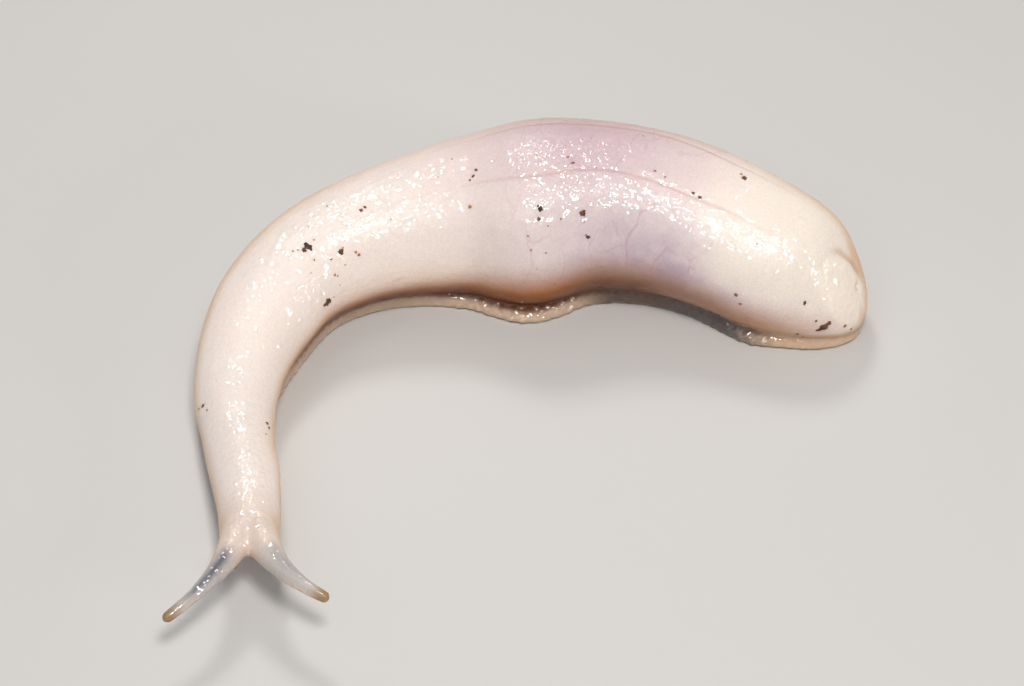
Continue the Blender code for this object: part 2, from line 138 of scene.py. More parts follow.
# %% The plan of the body
Station = namedtuple(
    "Station", "x y left right height tuck groove_left groove_right foot_left foot_right"
)
STATIONS_MM = [
    Station(-15.0, -19.2, 1.75, 1.80, 3.5, 1.0, 0.75, 0.75, 1.4, 1.4),
    Station(-15.2, -16.4, 1.80, 1.85, 3.6, 1.0, 0.75, 0.75, 1.5, 1.5),
    Station(-15.6, -13.2, 2.00, 2.10, 3.8, 1.0, 0.80, 0.80, 1.6, 1.6),
    Station(-16.3, -9.8, 2.15, 2.20, 4.1, 1.0, 0.85, 0.85, 1.7, 1.8),
    Station(-16.6, -6.8, 2.45, 2.55, 4.8, 1.0, 0.95, 0.90, 1.8, 2.1),
    Station(-16.2, -3.8, 2.75, 3.05, 5.7, 1.0, 1.05, 1.00, 2.2, 2.4),
    Station(-15.0, -0.5, 3.15, 3.60, 6.5, 1.0, 1.10, 1.05, 2.5, 2.8),
    Station(-13.0, 2.4, 3.20, 3.90, 7.2, 1.0, 1.10, 1.10, 2.3, 3.1),
    Station(-10.1, 4.6, 3.70, 4.25, 7.8, 1.0, 1.15, 1.15, 2.5, 3.3),
    Station(-6.6, 6.0, 4.30, 4.60, 8.5, 0.95, 1.20, 1.20, 3.1, 3.5),
    Station(-3.2, 6.7, 4.80, 5.00, 9.3, 0.80, 1.10, 1.25, 4.0, 3.8),
    Station(0.9, 6.9, 6.15, 5.40, 10.6, 0.60, 1.00, 1.30, 5.4, 4.1),
    Station(5.5, 7.0, 5.30, 5.40, 10.5, 0.95, 1.30, 1.30, 3.8, 4.1),
    Station(10.1, 6.4, 5.10, 5.10, 9.8, 0.95, 1.35, 1.30, 3.6, 4.0),
    Station(13.7, 5.1, 5.15, 4.70, 9.0, 0.90, 1.20, 1.25, 3.9, 3.7),
    Station(16.8, 3.4, 4.85, 4.40, 8.3, 0.75, 0.95, 1.15, 4.2, 3.5),
    Station(19.4, 1.9, 4.00, 3.95, 7.5, 0.85, 0.95, 1.00, 3.0, 3.0),
    Station(21.85, 0.6, 3.10, 3.20, 6.1, 1.0, 0.90, 0.90, 2.1, 2.3),
]
UNITS = Station(*[MM] * len(Station._fields))._replace(tuck=1)
PLAN_OFFSET = Station(*[0] * len(Station._fields))._replace(x=PLAN_CENTRE.x, y=PLAN_CENTRE.y)
ROWS = np.array(STATIONS_MM) * np.array(UNITS) + np.array(PLAN_OFFSET)
ALONG = np.concatenate([[0], np.cumsum(np.linalg.norm(np.diff(ROWS[:, :2], axis=0), axis=1))])
SLOPES = np.gradient(ROWS, ALONG, axis=0)
LENGTH = float(ALONG[-1])


def body_at(s):
    """The station at distance s from the nose, and the direction of the middle line there."""
    i = int(np.clip(np.searchsorted(ALONG, s) - 1, 0, len(ALONG) - 2))
    span = ALONG[i + 1] - ALONG[i]
    t = (s - ALONG[i]) / span
    start, end = ROWS[i], ROWS[i + 1]
    leave, arrive = SLOPES[i] * span, SLOPES[i + 1] * span
    place = (
        (2 * t**3 - 3 * t**2 + 1) * start
        + (t**3 - 2 * t**2 + t) * leave
        + (3 * t**2 - 2 * t**3) * end
        + (t**3 - t**2) * arrive
    )
    slope = (
        (6 * t**2 - 6 * t) * (start - end)
        + (3 * t**2 - 4 * t + 1) * leave
        + (3 * t**2 - 2 * t) * arrive
    )
    return Station(*place), Vector((slope[0], slope[1], 0)).normalized()


print("middle line", round(LENGTH / MM, 1), "mm from the nose to the tail")

# %% [markdown]
# ## Rounded ends and the lifted head
# The head is held a little clear of the floor and comes down to it along the neck. Both
# ends of the body are domes. Two small rules do this: one eases a value from 0 to 1, and
# one gives how full a rounded end is at a distance from its tip.

# %% Rules for the ends
HEAD_LIFT, LIFT_START, LIFT_END = 1.0 * MM, 3.0 * MM, 11.0 * MM


def ease(low, high, value):
    """0 below low, 1 above high, and a smooth rise between them. Takes numbers and arrays."""
    t = np.clip((value - low) / (high - low), 0, 1)
    return t * t * (3 - 2 * t)


def lift_at(s):
    return HEAD_LIFT * (1 - ease(LIFT_START, LIFT_END, s))


def dome(distance, reach, squareness):
    """0 at the tip of a rounded end, 1 once the body has its full size."""
    if distance >= reach:
        return 1.0
    return (1 - (1 - max(distance, 0) / reach) ** squareness) ** (1 / squareness)


def on_body(s, left, up):
    """The point at distance s from the nose, that far to the animal's left and above its sole."""
    body, direction = body_at(max(s, 0))
    ahead = min(s, 0) * direction
    point = Vector((body.x, body.y, up + float(lift_at(s)))) + direction.cross(UP) * left
    return point + ahead


print("the head is lifted", HEAD_LIFT / MM, "mm")

# %% [markdown]
# ## A sleeve of skin
# Every limb of a slug is a sleeve: a ring of points that is drawn out and reshaped as it
# goes. In Blender that is a circle, extruded again and again. Each point of the circle is
# numbered once, and an extrusion hands the number on, so a new ring can be put in shape.

# %% A sleeve of skin
END_TURNS = np.radians([4, 14, 24, 34, 44, 54, 64, 76])


def shape_ring(sleeve, ring):
    """Moves the selected points to the ring's places, by the number that each one carries."""
    bm = bmesh.from_edit_mesh(sleeve.data)
    number = bm.verts.layers.int["number"]
    for vert in bm.verts:
        if vert.select:
            vert.co = ring[vert[number]]
    bmesh.update_edit_mesh(sleeve.data)


def add_sleeve(name, rings):
    """A closed tube through the rings, which all have the same number of points."""
    bpy.ops.object.select_all(action="DESELECT")
    bpy.ops.mesh.primitive_circle_add(vertices=len(rings[0]), radius=MM, fill_type="NGON")
    sleeve = bpy.context.object
    sleeve.name = name
    numbers = sleeve.data.attributes.new("number", "INT", "POINT")
    numbers.data.foreach_set("value", range(len(rings[0])))
    bpy.ops.object.mode_set(mode="EDIT")
    shape_ring(sleeve, rings[0])
    for ring in rings[1:]:
        bpy.ops.mesh.extrude_region()
        shape_ring(sleeve, ring)
    bpy.ops.mesh.select_all(action="SELECT")
    bpy.ops.mesh.normals_make_consistent(inside=False)
    bpy.ops.object.mode_set(mode="OBJECT")
    return sleeve


def ring_places(start, end, front, rear, pitch):
    """Distances of the rings from the nose: close on the rounded ends, even between them."""
    opening = start + front * (1 - np.cos(END_TURNS))
    closing = end - rear * (1 - np.cos(END_TURNS[::-1]))
    count = round((end - rear - start - front) / pitch)
    between = np.linspace(start + front, end - rear, count + 1)
    return [float(s) for s in (*opening, *between, *closing)]


# %% [markdown]
# ## The trunk
# Above, the section is half an ellipse from the waist to the back. Below the waist the
# flank turns in to the pedal groove, sharply where the body is round and less so where it
# sags over the foot. The trunk is drawn out from the nose to the tail in about a hundred
# steps.

# %% The trunk
RING_PITCH = 0.6 * MM
WAIST_SHARE = 0.49
NOSE_DOME, NOSE_SQUARENESS, NOSE_HEIGHT_SHARE = 2.3 * MM, 3.0, 0.66
RUMP_DOME, RUMP_SQUARENESS = 5.2 * MM, 2.2
ROUND_STEPS = 26
ACROSS_SOLE = (0.2, 0.4, 0.6, 0.8)


def flank_end(body, groove):
    """The angle round the section, from the top, at which the flank meets the groove."""
    waist = WAIST_SHARE * body.height
    return math.acos(-(waist - groove) / waist)


def trunk_ring(s):
    """The section at distance s: up the left flank, down the right one and along the sole."""
    body, _ = body_at(s)
    waist = WAIST_SHARE * body.height
    nose_width = dome(s, NOSE_DOME, NOSE_SQUARENESS)
    nose_height = dome(s, NOSE_DOME, 2)
    rump = dome(LENGTH - s, RUMP_DOME, RUMP_SQUARENESS)
    nose_level = NOSE_HEIGHT_SHARE * body.height

    def point(share, side):
        half = body.left if side > 0 else body.right
        groove = body.groove_left if side > 0 else body.groove_right
        angle = share * flank_end(body, groove)
        above = angle < math.pi / 2
        across = side * half * math.sin(angle) ** (1 if above else body.tuck)
        reach = body.height - waist if above else waist
        up = waist + reach * math.cos(angle)
        up = nose_level + (up - nose_level) * nose_height
        up = groove + (up - groove) * rump
        return on_body(s, across * nose_width * rump, up)

    shares = np.linspace(0, 1, ROUND_STEPS)
    left = [point(share, 1) for share in shares[::-1]]
    right = [point(share, -1) for share in shares[1:]]
    return left + right + [right[-1].lerp(left[0], t) for t in ACROSS_SOLE]


trunk_places = ring_places(0, LENGTH, NOSE_DOME, RUMP_DOME, RING_PITCH)
trunk = add_sleeve("trunk", [trunk_ring(s) for s in trunk_places])
print("trunk:", len(trunk_places), "rings,", len(trunk.data.polygons), "faces")

# %% [markdown]
# ## Where the mantle is
# In this slug the mantle is a small oval pad at the very end of the body, over the last
# trace of a shell. It is nearly flush with the rump, so it needs no piece of its own. A
# sloping plane that cuts off the end of the rump says where its edge runs. The crease
# and the grain of the pad are worked in later, once the skin is one piece.

# %% Where the mantle is
MANTLE_DEPTH = 0.42 * MM
MANTLE_SLOPE, MANTLE_TURN = math.radians(26), math.radians(14)
tail_direction = body_at(LENGTH)[1]
tail_left = tail_direction.cross(UP)
mantle_back = tail_direction * math.cos(MANTLE_TURN) + tail_left * math.sin(MANTLE_TURN)
mantle_facing = mantle_back * math.cos(MANTLE_SLOPE) + UP * math.sin(MANTLE_SLOPE)
mantle_right = (mantle_facing * tail_left.dot(mantle_facing) - tail_left).normalized()
mantle_front = mantle_right.cross(mantle_facing)
mantle_level = max(v.co.dot(mantle_facing) for v in trunk.data.vertices) - MANTLE_DEPTH
pad = [v.co for v in trunk.data.vertices if v.co.dot(mantle_facing) > mantle_level]
mantle_middle = sum(pad, Vector()) / len(pad)
print("mantle in the middle at", [round(v / MM, 1) for v in mantle_middle], "mm")

# %% [markdown]
# ## The foot
# The trunk sits on a foot whose thin edge, the fringe, shows all round. The pedal groove
# runs between them. The foot's top reaches up into the trunk to join it, and the fringe
# slopes out from the groove to a blunt edge and turns under to a flat sole.

# %% The foot
FOOT_START, FOOT_END, FOOT_DOME = 1.7 * MM, LENGTH - 0.1 * MM, 3.0 * MM
FOOT_TIP_SHARE, GROOVE_GAP, FOOT_JOIN = 0.4, 0.30 * MM, 0.35 * MM
FRINGE_LEAST, FRINGE_EDGE, FRINGE_BULGE = 0.2 * MM, 0.45 * MM, 0.10 * MM
FRINGE_LIP, LIP_LIFT, SOLE_EDGE_LIFT = 0.06 * MM, 0.22 * MM, 0.12 * MM
JOIN_IN, JOIN_MIDDLE, JOIN_OUT = 0.70, 0.84, 0.97
EDGE_UNDER, SOLE_OUT, SOLE_IN = 0.97, 0.86, 0.45


def foot_ring(s):
    """The section of the foot: from the join inside the trunk, over the fringe, to the sole."""
    body, _ = body_at(min(s, LENGTH))
    ends = min(dome(s - FOOT_START, FOOT_DOME, 2), dome(FOOT_END - s, FOOT_DOME, 2))

    def side_points(side):
        groove = body.groove_left if side > 0 else body.groove_right
        top = (groove - GROOVE_GAP / 2) * (FOOT_TIP_SHARE + (1 - FOOT_TIP_SHARE) * ends)
        half = (body.left if side > 0 else body.right) * ends
        half *= math.sin(flank_end(body, groove)) ** body.tuck
        edge = (body.foot_left if side > 0 else body.foot_right) * ends
        half = min(half, edge - FRINGE_LEAST * ends)
        rim = min(FRINGE_EDGE, top)
        shape = [
            (half * JOIN_IN, top + (GROOVE_GAP + FOOT_JOIN) * ends),
            (half * JOIN_MIDDLE, top + GROOVE_GAP / 2 * ends),
            (half * JOIN_OUT, top),
            ((half + edge) / 2, (top + rim) / 2 + FRINGE_BULGE * ends),
            (edge, rim),
            (edge + FRINGE_LIP * ends, min(LIP_LIFT, rim * 0.8)),
            (edge * EDGE_UNDER, SOLE_EDGE_LIFT),
            (edge * SOLE_OUT, 0.0),
            (edge * SOLE_IN, 0.0),
        ]
        return [on_body(s, side * across, up) for across, up in shape]

    left, right = side_points(1), side_points(-1)
    return [*left, on_body(s, 0, 0), *reversed(right)]


foot_places = ring_places(FOOT_START, FOOT_END, FOOT_DOME, FOOT_DOME, RING_PITCH)
foot = add_sleeve("foot", [foot_ring(s) for s in foot_places])
print("foot:", len(foot_places), "rings,", len(foot.data.polygons), "faces")

# %% [markdown]
# ## The tentacles
# This slug has no eyes. The upper tentacles are long and taper to round tips, and the two
# lower ones, beside the mouth, are short. Each is a sleeve along a bent line from deep
# inside the head, so that its root swells out of the head with no edge.

# %% The tentacles
Tentacle = namedtuple("Tentacle", "name root bend tip radii")
UPPER_LEFT_RADII = (1.05, 1.05, 0.90, 0.64, 0.45, 0.34)
UPPER_RIGHT_RADII = (1.05, 1.00, 0.82, 0.57, 0.39, 0.33)
LOWER_RADII = (0.50, 0.46, 0.40, 0.33, 0.29, 0.27)
TENTACLES_MM = [
    Tentacle("upper_left", (2.2, 0.5, 2.35), (-1.4, 1.5, 2.9), (-4.1, 4.2, 2.8), UPPER_LEFT_RADII),
    Tentacle(
        "upper_right", (2.2, -0.5, 2.35), (-1.55, -1.55, 2.9), (-4.6, -4.6, 2.4), UPPER_RIGHT_RADII
    ),
    Tentacle("lower_left", (2.0, 0.6, 1.75), (0.6, 1.05, 1.5), (-0.8, 1.85, 1.0), LOWER_RADII),
    Tentacle("lower_right", (2.0, -0.6, 1.75), (0.9, -0.8, 1.4), (0.0, -0.95, 0.95), LOWER_RADII),
]
TENTACLE_SIDES, TENTACLE_RINGS = 24, 26
TIP_TURNS = np.radians([20, 40, 60, 78])


def tentacle_line(tentacle):
    """Points, directions and radii along the tentacle, from the root to the tip."""
    root, bend, tip = (
        on_body(*(value * MM for value in place))
        for place in (tentacle.root, tentacle.bend, tentacle.tip)
    )
    control = 2 * bend - (root + tip) / 2
    shares = np.linspace(0, 1, TENTACLE_RINGS)
    points = [root * (1 - t) ** 2 + control * 2 * t * (1 - t) + tip * t**2 for t in shares]
    directions = [((control - root) * (1 - t) + (tip - control) * t).normalized() for t in shares]
    radii = np.interp(shares, np.linspace(0, 1, len(tentacle.radii)), tentacle.radii) * MM
    return points, directions, radii


def tentacle_rings(tentacle):
    """Rings along the tentacle, and a few more that close its round tip."""
    points, directions, radii = tentacle_line(tentacle)
    end, outward, end_radius = points[-1], directions[-1], radii[-1]
    for turn in TIP_TURNS:
        points.append(end + outward * end_radius * math.sin(turn))
        radii = np.append(radii, end_radius * math.cos(turn))
        directions.append(outward)
    rings = []
    for point, direction, radius in zip(points, directions, radii):
        aside = direction.cross(UP).normalized()
        above = aside.cross(direction)
        turns = np.linspace(0, math.tau, TENTACLE_SIDES, endpoint=False)
        rings.append([point + (aside * math.cos(a) + above * math.sin(a)) * radius for a in turns])
    return rings


tentacles = [add_sleeve(t.name, tentacle_rings(t)) for t in TENTACLES_MM]
print("tentacles:", [t.name for t in tentacles])

# %% [markdown]
# ## The brow and the lips
# Between the tentacles the head has a soft brow, and below it two lips close on the
# upright line of the mouth. Each is a ball, resized and turned to the head.

# %% The brow and the lips
Fold = namedtuple("Fold", "name place half_size")
FOLDS_MM = [
    Fold("brow", (1.05, 0.0, 2.50), (1.42, 1.35, 0.82)),
    Fold("lip_left", (1.10, 0.36, 1.25), (0.72, 0.42, 0.62)),
    Fold("lip_right", (1.10, -0.36, 1.25), (0.72, 0.42, 0.62)),
]
nose_direction = body_at(0)[1]
nose_turn = math.atan2(nose_direction.y, nose_direction.x)


def add_fold(fold):
    """A ball inside the head, as long, wide and high as the fold, turned the head's way."""
    bpy.ops.object.select_all(action="DESELECT")
    middle = on_body(*(value * MM for value in fold.place))
    bpy.ops.mesh.primitive_uv_sphere_add(segments=32, ring_count=20, radius=MM, location=middle)
    ball = bpy.context.object
    ball.name = fold.name
    ball.scale = fold.half_size
    ball.rotation_euler = (0, 0, nose_turn)
    bpy.ops.object.transform_apply(location=True, rotation=True, scale=True)
    return ball


folds = [add_fold(fold) for fold in FOLDS_MM]
print("folds:", [round(v / MM, 1) for v in folds[0].dimensions], "mm brow")

# %% [markdown]
# ## One skin
# Real skin runs over all of this without a seam. The sleeves are joined and remeshed in
# fine voxels, which fuses what overlaps and keeps the pedal groove open. A little
# smoothing takes off the steps. It works on every limb, so it is kept short.

# %% One skin
VOXEL = 0.15 * MM
SMOOTHING_STEPS = 3


def apply_modifier(kind, **settings):
    """Adds a modifier to the skin, sets it and applies it, as from the modifier panel."""
    modifier = skin.modifiers.new(kind.lower(), kind)
    for name, value in settings.items():
        setattr(modifier, name, value)
    bpy.ops.object.modifier_apply(modifier=modifier.name)


bpy.ops.object.select_all(action="DESELECT")
for limb in (foot, *tentacles, *folds, trunk):
    limb.select_set(True)
bpy.context.view_layer.objects.active = trunk
bpy.ops.object.join()
skin = bpy.context.object
skin.name = skin.data.name = "slug_skin"
bpy.ops.object.transform_apply(location=True, rotation=True, scale=True)
apply_modifier("REMESH", mode="VOXEL", voxel_size=VOXEL)
apply_modifier("SMOOTH", factor=0.5, iterations=SMOOTHING_STEPS)
print("skin:", len(skin.data.vertices), "points", len(skin.data.polygons), "faces")

# %% [markdown]
# ## A map of the skin
# What a slug's skin looks like depends on where it is: how far along the body, and how far
# round it from the back to the groove. Each point is given both, from the nearest place
# on the middle line. The map is drawn in millimetres, so that patterns keep their size.

# %% A map of the skin
LINE_STEPS = 600
MEAN_GIRTH = 7.5
POINTS_AT_ONCE = 8000
LINE_S = np.linspace(0, LENGTH, LINE_STEPS)
LINE = [body_at(s) for s in LINE_S]
LINE_ROWS = np.array([body for body, _ in LINE])
LINE_WAYS = np.array([direction[:2] for _, direction in LINE])


def read_points():
    flat = np.empty(len(skin.data.vertices) * 3)
    skin.data.vertices.foreach_get("co", flat)
    return flat.reshape(-1, 3)


def read_normals():
    flat = np.empty(len(skin.data.vertices) * 3, dtype=np.float32)
    skin.data.vertex_normals.foreach_get("vector", flat)
    return flat.reshape(-1, 3).astype(float)


def map_skin(points):
    """Distance from the nose, share of the way round to the groove, and height, per point."""
    nearest = np.empty(len(points), int)
    for start in range(0, len(points), POINTS_AT_ONCE):
        some = slice(start, start + POINTS_AT_ONCE)
        gap = points[some, None, :2] - LINE_ROWS[None, :, :2]
        nearest[some] = (gap**2).sum(2).argmin(1)
    offset = points[:, :2] - LINE_ROWS[nearest, :2]
    way = LINE_WAYS[nearest]
    along = LINE_S[nearest] + (offset * way).sum(1)
    left = offset[:, 0] * way[:, 1] - offset[:, 1] * way[:, 0]
    body = Station(*(np.interp(along, LINE_S, column) for column in LINE_ROWS.T))
    up = points[:, 2] - lift_at(along)
    waist = WAIST_SHARE * body.height
    half = np.where(left > 0, body.left, body.right)
    groove = np.where(left > 0, body.groove_left, body.groove_right)
    reach = np.where(up > waist, body.height - waist, waist)
    angle = np.arctan2(np.abs(left) / half, (up - waist) / reach)
    round_share = angle / np.arccos(-(waist - groove) / waist)
    return along, np.sign(left) * round_share, up, groove


points = read_points()
along, share, up, groove = map_skin(points)
along_mm, around_mm = along / MM, share * MEAN_GIRTH
skin_map = skin.data.attributes.new("skin_map", "FLOAT_VECTOR", "POINT")
skin_map.data.foreach_set("vector", np.column_stack([along_mm, around_mm, 0 * along_mm]).ravel())
print("mapped from", along_mm.min().round(1), "to", along_mm.max().round(1), "mm")

# %% [markdown]
# ## Where the tentacles are
# The tentacles need their own measure: how far out along a tentacle a point is, from 0 at
# the root to 1 at the tip, and which way it faces round it. The muscle that draws a
# tentacle in shows through the clear skin as a dark core, most of all in the right one.

# %% Where the tentacles are
HEAD_REACH, TENTACLE_SKIN = 3 * MM, 1.35
CORE_ASIDE, CORE_SPREAD, CORE_RISE, CORE_FAINT = -0.12, 0.25, 0.2 * MM, 0.35
out_share = np.zeros(len(points))
core_side = np.zeros(len(points))
under_side = np.zeros(len(points))
near_head = np.flatnonzero(along < HEAD_REACH)
for tentacle in TENTACLES_MM:
    line, ways, radii = tentacle_line(tentacle)
    line, ways = np.array(line), np.array(ways)
    gap = points[near_head, None] - line[None]
    nearest = (gap**2).sum(2).argmin(1)
    offset = gap[np.arange(len(near_head)), nearest]
    steps = np.linalg.norm(np.gradient(line, axis=0), axis=1)
    outward = (offset * ways[nearest]).sum(1)
    share_out = (nearest + outward / steps[nearest]) / (TENTACLE_RINGS - 1)
    offset -= outward[:, None] * ways[nearest]
    on_it = np.linalg.norm(offset, axis=1) < radii[nearest] * TENTACLE_SKIN
    picked = on_it & (share_out > out_share[near_head])
    chosen, offset, radius = near_head[picked], offset[picked], radii[nearest][picked]
    out_share[chosen] = share_out[picked]
    aside = np.cross(ways[nearest], UP)[picked]
    aside /= np.linalg.norm(aside, axis=1, keepdims=True)
    across = (offset * aside).sum(1) / radius
    core = np.exp(-((across - CORE_ASIDE) ** 2) / CORE_SPREAD) * ease(0, CORE_RISE, offset[:, 2])
    core_side[chosen] = core * (1.0 if tentacle.name == "upper_right" else CORE_FAINT)
    under_side[chosen] = ease(0.55, 0.95, -offset[:, 1] / radius)
print("tentacle points:", int((out_share > 0.4).sum()))

# %% [markdown]
# ## Softening the head
# On the animal the tentacle roots melt into the head with no edge at all. A smoothing
# brush is drawn over the front of the head only. The brush is a group of points whose
# weights fade out along the neck and along the tentacles.

# %% Softening the head
HEAD_BRUSH_STEPS, BRUSH_LEAST = 34, 0.01
brush = ease(6.0, 3.5, along_mm) * ease(0.75, 0.45, out_share)
brushed = np.flatnonzero(brush > BRUSH_LEAST)
head_group = skin.vertex_groups.new(name="head_brush")
for index in brushed:
    head_group.add([int(index)], float(brush[index]), "REPLACE")
apply_modifier("SMOOTH", factor=0.5, iterations=HEAD_BRUSH_STEPS, vertex_group="head_brush")
print("softened", len(brushed), "points of the head")

# %% [markdown]
# ## The relief of the skin
# The relief is worked into the mesh, as heights in millimetres. On the trunk they are two
# furrows along the back, soft unevenness of the muscle below, and rows of long low
# tubercles. Most of it is smooth noise on the map of the skin.

# %% The relief of the skin
FURROW_SHARE, FURROW_DEPTH, FURROW_WIDTH, FURROW_WANDER = 0.165, 0.045, 0.12, 0.25
SWELL_HEIGHT, RIPPLE_HEIGHT, TUBERCLE_HEIGHT = 0.07, 0.03, 0.020
noise_of = mathutils.noise.noise


def noise(size_along, size_around, seed):
    """A smooth field from -1 to 1 on the skin map, with the given sizes in millimetres."""
    rows = zip(along_mm / size_along, around_mm / size_around)
    return np.array([noise_of((u, v, seed)) for u, v in rows])


def bell(distance, width):
    """1 at no distance, about a third at the width, and soon 0 beyond it."""
    return np.exp(-((distance / width) ** 2))


def stretch(start, full, fade, end):
    """1 from full to fade, in millimetres from the nose, with soft ends at start and end."""
    return ease(start, full, along_mm) * ease(end, fade, along_mm)


points, normals = read_points(), read_normals()
up_mm, above_groove = up / MM, (up - groove) / MM
on_trunk = ease(0.1, 0.35, above_groove) * ease(0.45, 0.25, out_share)
wander = noise(5.0, 3.0, 1.5)
furrow_way = (np.abs(share) - FURROW_SHARE) * MEAN_GIRTH + FURROW_WANDER * wander
furrow_fade = (0.15 + 0.85 * ease(32, 39, along_mm)) * stretch(18, 30, 47, 56)
furrows = bell(furrow_way, FURROW_WIDTH) * furrow_fade
muscle = SWELL_HEIGHT * noise(5.5, 4.5, 3.7) + RIPPLE_HEIGHT * noise(2.2, 1.8, 7.1)
tubercles = TUBERCLE_HEIGHT * noise(0.75, 0.34, 11.3) * stretch(14, 24, 48, 56)
trunk_relief = (muscle + tubercles - FURROW_DEPTH * furrows) * on_trunk
print("relief on the trunk, mm:", trunk_relief.min().round(2), "to", trunk_relief.max().round(2))

# %% [markdown]
# ## The mantle's crease
# The mantle is nearly flush with the rump. A crease marks its edge, sharpest in front, and
# a low lip follows it. Its surface is granular. The breathing hole is a small pit on its
# right.

# %% The mantle's crease
PIT_ASIDE, PIT_RADIUS, PIT_DEPTH = 1.15, 0.16, 0.25
GRAINS_PER_METRE, GRAIN_HEIGHT = 3200, 0.042
GRAIN_PLACE = Vector((0, 0, 5))
CREASE_WIDTH, CREASE_DEPTH = 0.09, 0.09
LIP_WIDTH, LIP_HEIGHT = 0.14, 0.04
from_middle = points - np.array(mantle_middle)
rim_x = from_middle @ np.array(mantle_right)
rim_y = from_middle @ np.array(mantle_front)
past_edge = (points @ np.array(mantle_facing) - mantle_level) / MM


def rim_share(right, front, low, high):
    """1 where the mantle's rim lies that way from its middle, 0 elsewhere, softly."""
    return ease(low, high, (right * rim_x + front * rim_y) / np.hypot(rim_x, rim_y))


on_mantle = ease(-0.05, 0.15, past_edge)
front_share = rim_share(0.71, -0.71, 0.74, 0.96)
crease = bell(past_edge + 0.03, CREASE_WIDTH) * front_share
lip = bell(past_edge - 0.14, LIP_WIDTH) * front_share
pit = bell(np.hypot(rim_x / MM - PIT_ASIDE, rim_y / MM), PIT_RADIUS) * on_mantle
grains = [noise_of(Vector(point) * GRAINS_PER_METRE + GRAIN_PLACE) for point in points]
mantle_relief = GRAIN_HEIGHT * np.array(grains) * on_mantle + LIP_HEIGHT * lip
mantle_relief -= CREASE_DEPTH * crease + PIT_DEPTH * pit
print("mantle points:", int((on_mantle > 0.5).sum()))

# %% [markdown]
# ## The fringe's beads
# The fringe is beaded by the fine lines that cross a slug's foot. Two waves, one along the
# fringe and one up it, make the beads, and noise makes them uneven. Then all of the relief
# is worked in, outward along the normals, and nothing may go below the floor.

# %% The fringe's beads
BEAD_PITCH, BEAD_RISE, BEAD_WANDER, BEAD_HEIGHT = 0.75, 0.7, 1.5, 0.05
LINE_UP, LINE_WIDTH, LINE_DEPTH = 0.55, 0.14, 0.03
fringe_share = ease(0.05, -0.15, above_groove) * ease(-1.5, 1.5, along_mm)
fringe_share *= ease(0.05, 0.2, up_mm)
bead_row = np.cos(math.tau * along_mm / BEAD_PITCH + BEAD_WANDER * wander)
bead_row *= np.cos(math.tau * up_mm / BEAD_RISE)
beads = BEAD_HEIGHT * (bead_row + noise(0.45, 1.1, 31.7) + noise(1.4, 9.0, 21.3))
fringe_relief = (beads - LINE_DEPTH * bell(up_mm - LINE_UP, LINE_WIDTH)) * fringe_share
relief = (trunk_relief + mantle_relief + fringe_relief) * MM
points += normals * relief[:, None]
points[:, 2] = np.maximum(points[:, 2], 0)
skin.data.vertices.foreach_set("co", points.ravel())
skin.data.update()
print("fringe points:", int((fringe_share > 0.5).sum()))

# %% [markdown]
# ## Veins on the flank
# Behind the middle, a net of thin pink veins shows through the left flank. They are drawn
# where the picture has them: each place in the picture is followed along the line of
# sight to the skin. What is kept is how far every point of the skin is from a vein.

# %% Veins on the flank
PICTURE_FOCAL = PICTURE_WIDTH * LENS_MM / SENSOR_MM
VEIN_WOBBLE = 0.12 * MM
Vein = namedtuple("Vein", "strength spots")
VEINS = [
    Vein(0.9, [(656, 193), (655, 205), (641, 213), (637, 225), (630, 232)]),
    Vein(0.9, [(630, 232), (627, 239), (626, 247), (627, 256)]),
    Vein(0.6, [(627, 256), (633, 261), (645, 263), (651, 267)]),
    Vein(0.5, [(626, 247), (619, 246), (613, 248), (606, 252)]),
    Vein(0.4, [(627, 256), (626, 270)]),
    Vein(0.8, [(664, 241), (667, 248), (661, 255), (655, 261), (651, 267), (653, 276), (657, 283)]),
    Vein(0.7, [(667, 248), (676, 254), (684, 257), (690, 262), (690, 267), (687, 273)]),
    Vein(0.6, [(690, 262), (698, 255), (709, 248), (714, 242)]),
    Vein(0.5, [(690, 267), (696, 270)]),
    Vein(0.4, [(577, 124), (572, 129), (567, 140), (565, 152), (563, 163)]),
    Vein(0.6, [(638, 134), (632, 141), (626, 152), (617, 165), (611, 175)]),
    Vein(0.3, [(528, 121), (525, 128), (522, 137), (516, 148)]),
]


def seen_at(across, down):
    """Where the line of sight through that pixel of the picture meets the skin."""
    x = (across - PICTURE_WIDTH / 2) / PICTURE_FOCAL
    y = (PICTURE_HEIGHT / 2 - down) / PICTURE_FOCAL
    sight = camera.matrix_world.to_3x3() @ Vector((x, y, -1))
    hit, point, normal, _ = skin.ray_cast(camera.location, sight.normalized())
    return (point, normal) if hit else (None, None)


bpy.context.view_layer.update()
vein_way, vein_strength = np.ones(len(points)), np.zeros(len(points))
wobble = VEIN_WOBBLE * np.column_stack([noise(1.1, 1.1, seed) for seed in (41.3, 44.9, 48.1)])
for vein in VEINS:
    places = [np.array(seen_at(*spot)[0]) for spot in vein.spots]
    for start, end in zip(places, places[1:]):
        way = end - start
        gap = points + wobble - start
        share_on = np.clip(gap @ way / (way @ way), 0, 1)
        distance = np.linalg.norm(gap - share_on[:, None] * way, axis=1) / MM
        vein_strength[distance < vein_way] = vein.strength
        vein_way = np.minimum(vein_way, distance)
print("veins:", len(VEINS), "points on them:", int((vein_way < 0.1).sum()))
